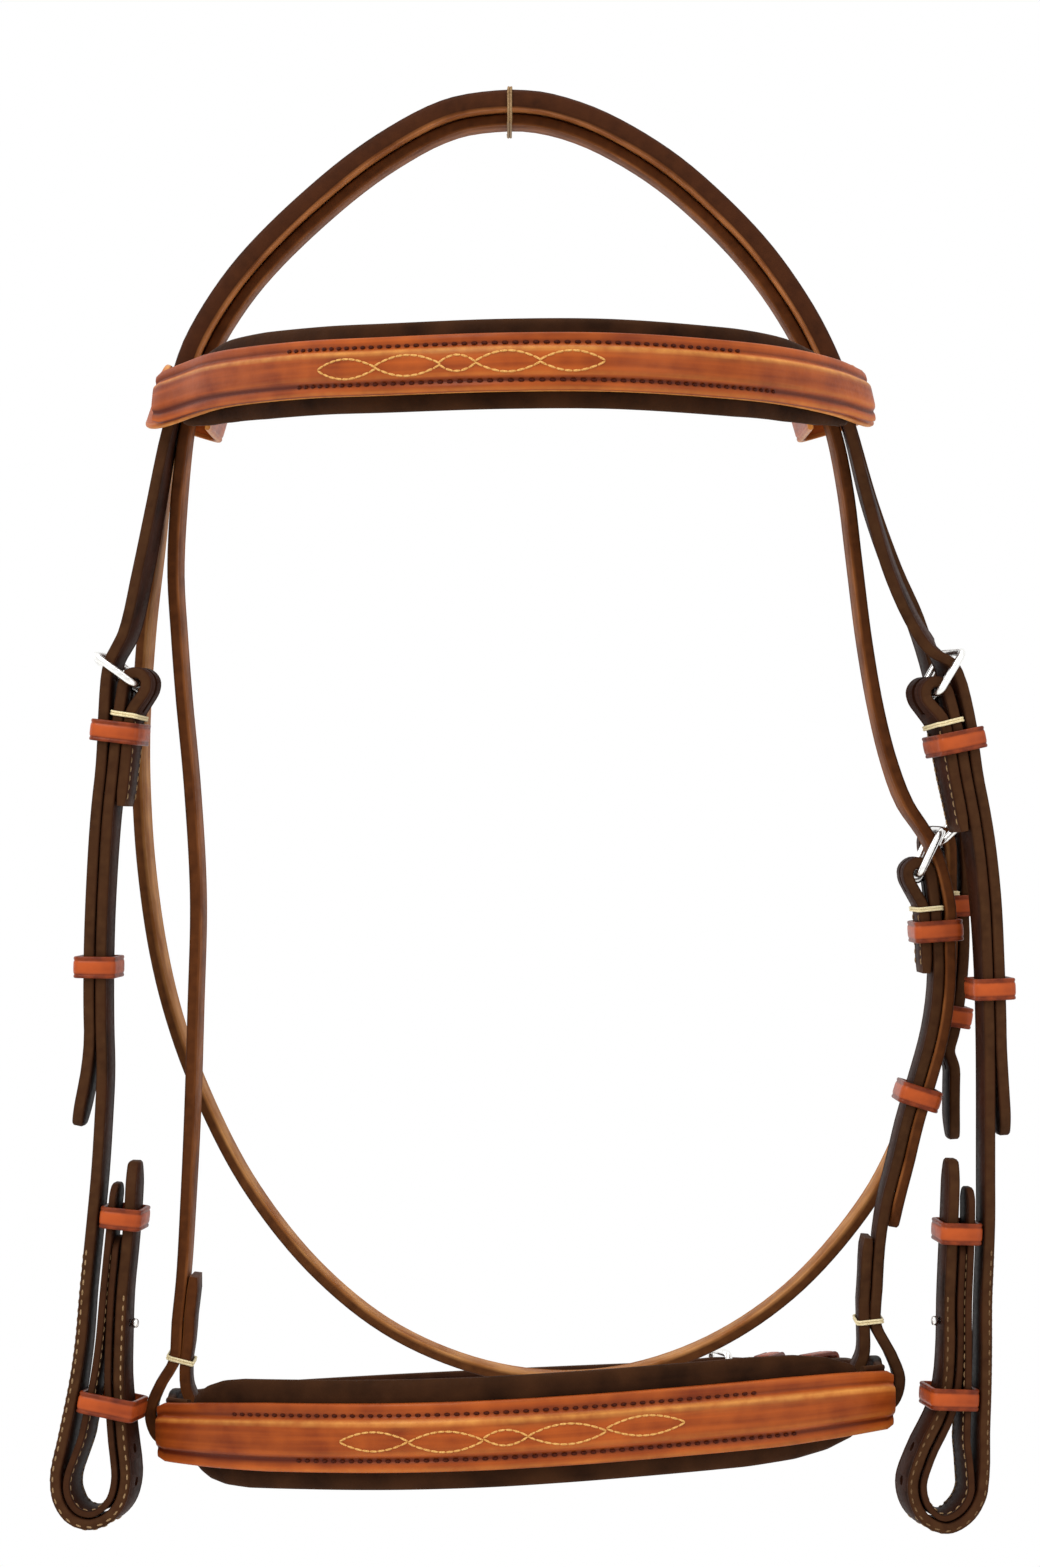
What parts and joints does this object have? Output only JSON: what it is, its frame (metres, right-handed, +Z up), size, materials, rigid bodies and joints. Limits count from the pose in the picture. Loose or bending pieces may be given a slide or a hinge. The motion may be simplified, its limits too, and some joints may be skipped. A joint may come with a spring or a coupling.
{
  "type": "horse bridle",
  "caption": "Leather snaffle bridle hanging buckled up: crownpiece, stitched browband, cheekpieces with hook studs, padded cavesson noseband and throatlatch, without bit or reins.",
  "frame": {"origin": "underside of the headpiece straps at the middle of the poll, where the bridle rests", "axes": "+Z up, -Y toward the front of the horse's face, where the browband and noseband bulge, +X toward the near side with the throatlatch buckle"},
  "size_m": [0.3106, 0.1981, 0.4653],
  "materials": {
    "strap_leather": "waxed dark havana leather with burnished edges",
    "tan_leather": "glossy london tan leather",
    "keeper_leather": "glossy reddish tan leather",
    "lining_leather": "soft dark padded lining",
    "polished_steel": "polished stainless steel",
    "waxed_thread": "cream waxed thread"
  },
  "bodies": {
    "bridle": {"crownpiece": "strap_leather", "sliphead": "strap_leather", "throatlatch": "strap_leather", "throat_billet": "strap_leather", "noseband_cheek_near": "strap_leather", "cheekpiece_off": "strap_leather", "cheekpiece_near": "strap_leather", "cheek_billet_off": "strap_leather", "cheek_billet_near": "strap_leather", "bit_lining_off": "strap_leather", "bit_lining_near": "strap_leather", "cheek_buckle_off_frame": "polished_steel", "cheek_buckle_near_frame": "polished_steel", "throat_buckle_frame": "polished_steel", "hanger_buckle_frame": "polished_steel", "cheek_keeper_fixed_off": "keeper_leather", "cheek_keeper_fixed_near": "keeper_leather", "bit_keeper_upper_off": "keeper_leather", "bit_keeper_upper_near": "keeper_leather", "bit_keeper_lower_off": "keeper_leather", "bit_keeper_lower_near": "keeper_leather", "throat_keeper_fixed": "keeper_leather", "hanger_keeper_fixed": "keeper_leather", "hook_stud_off": "polished_steel", "hook_stud_near": "polished_steel", "cheek_whip_off": "waxed_thread", "cheek_whip_near": "waxed_thread", "hanger_loop_whip_off": "waxed_thread", "hanger_loop_whip_near": "waxed_thread", "throat_whip": "waxed_thread", "hanger_whip": "waxed_thread", "poll_tie_thread": "waxed_thread"},
    "browband": {"browband_base": "tan_leather", "browband_face": "tan_leather", "browband_pad": "lining_leather"},
    "noseband": {"noseband_face": "tan_leather", "noseband_pad": "lining_leather", "noseband_rear_off": "strap_leather", "noseband_rear_near": "strap_leather", "rear_buckle_frame": "polished_steel", "rear_whip": "waxed_thread", "rear_keeper_fixed": "keeper_leather"},
    "cheek_buckle_off_tongue": {"cheek_buckle_off_tongue": "polished_steel"},
    "cheek_buckle_near_tongue": {"cheek_buckle_near_tongue": "polished_steel"},
    "throat_buckle_tongue": {"throat_buckle_tongue": "polished_steel"},
    "hanger_buckle_tongue": {"hanger_buckle_tongue": "polished_steel"},
    "rear_buckle_tongue": {"rear_buckle_tongue": "polished_steel"},
    "cheek_keeper_sliding_off": {"cheek_keeper_sliding_off": "keeper_leather"},
    "cheek_keeper_sliding_near": {"cheek_keeper_sliding_near": "keeper_leather"},
    "throat_keeper_sliding": {"throat_keeper_sliding": "keeper_leather"},
    "hanger_keeper_sliding": {"hanger_keeper_sliding": "keeper_leather"},
    "rear_keeper_sliding": {"rear_keeper_sliding": "keeper_leather"}
  },
  "joints": [
    {"name": "browband_slide", "type": "slide", "parent": "bridle", "child": "browband", "axis": [0, 0, 1], "range_m": [0, 0.008]},
    {"name": "noseband_swing", "type": "hinge", "parent": "bridle", "child": "noseband", "pos_m": [0.00164, 0.017, -0.42061], "axis": [-0.9989, 0, -0.047], "range_deg": [0, 8]},
    {"name": "cheek_buckle_off_tongue_hinge", "type": "hinge", "parent": "bridle", "child": "cheek_buckle_off_tongue", "pos_m": [-0.12272, -0.009, -0.1809], "axis": [-0.1392, -0.9903, 0], "range_deg": [0, 2.5]},
    {"name": "cheek_buckle_near_tongue_hinge", "type": "hinge", "parent": "bridle", "child": "cheek_buckle_near_tongue", "pos_m": [0.13209, -0.009, -0.18381], "axis": [-0.2419, 0.9703, 0], "range_deg": [0, 2.5]},
    {"name": "throat_buckle_tongue_hinge", "type": "hinge", "parent": "bridle", "child": "throat_buckle_tongue", "pos_m": [0.13804, 0.03, -0.23245], "axis": [-0.0698, 0.9976, 0], "range_deg": [0, 2.5]},
    {"name": "hanger_buckle_tongue_hinge", "type": "hinge", "parent": "bridle", "child": "hanger_buckle_tongue", "pos_m": [0.12951, 0.009, -0.24231], "axis": [-0.0523, 0.9986, 0], "range_deg": [0, 2.5]},
    {"name": "rear_buckle_tongue_hinge", "type": "hinge", "parent": "noseband", "child": "rear_buckle_tongue", "pos_m": [0.07051, 0.05361, -0.4141], "axis": [0, 0, -1], "range_deg": [0, 2.5]},
    {"name": "cheek_keeper_sliding_off_slide", "type": "slide", "parent": "bridle", "child": "cheek_keeper_sliding_off", "axis": [-0.0115, 0, -0.9999], "range_m": [-0.012, 0.012]},
    {"name": "cheek_keeper_sliding_near_slide", "type": "slide", "parent": "bridle", "child": "cheek_keeper_sliding_near", "axis": [0.0333, 0, -0.9994], "range_m": [-0.012, 0.012]},
    {"name": "throat_keeper_sliding_slide", "type": "slide", "parent": "bridle", "child": "throat_keeper_sliding", "axis": [-0.1629, 0, -0.9866], "range_m": [-0.006, 0.012]},
    {"name": "hanger_keeper_sliding_slide", "type": "slide", "parent": "bridle", "child": "hanger_keeper_sliding", "axis": [-0.3004, 0, -0.9538], "range_m": [-0.012, 0.012]},
    {"name": "rear_keeper_sliding_slide", "type": "slide", "parent": "noseband", "child": "rear_keeper_sliding", "axis": [0.7657, -0.6374, 0.0863], "range_m": [-0.007, 0.01]}
  ]
}
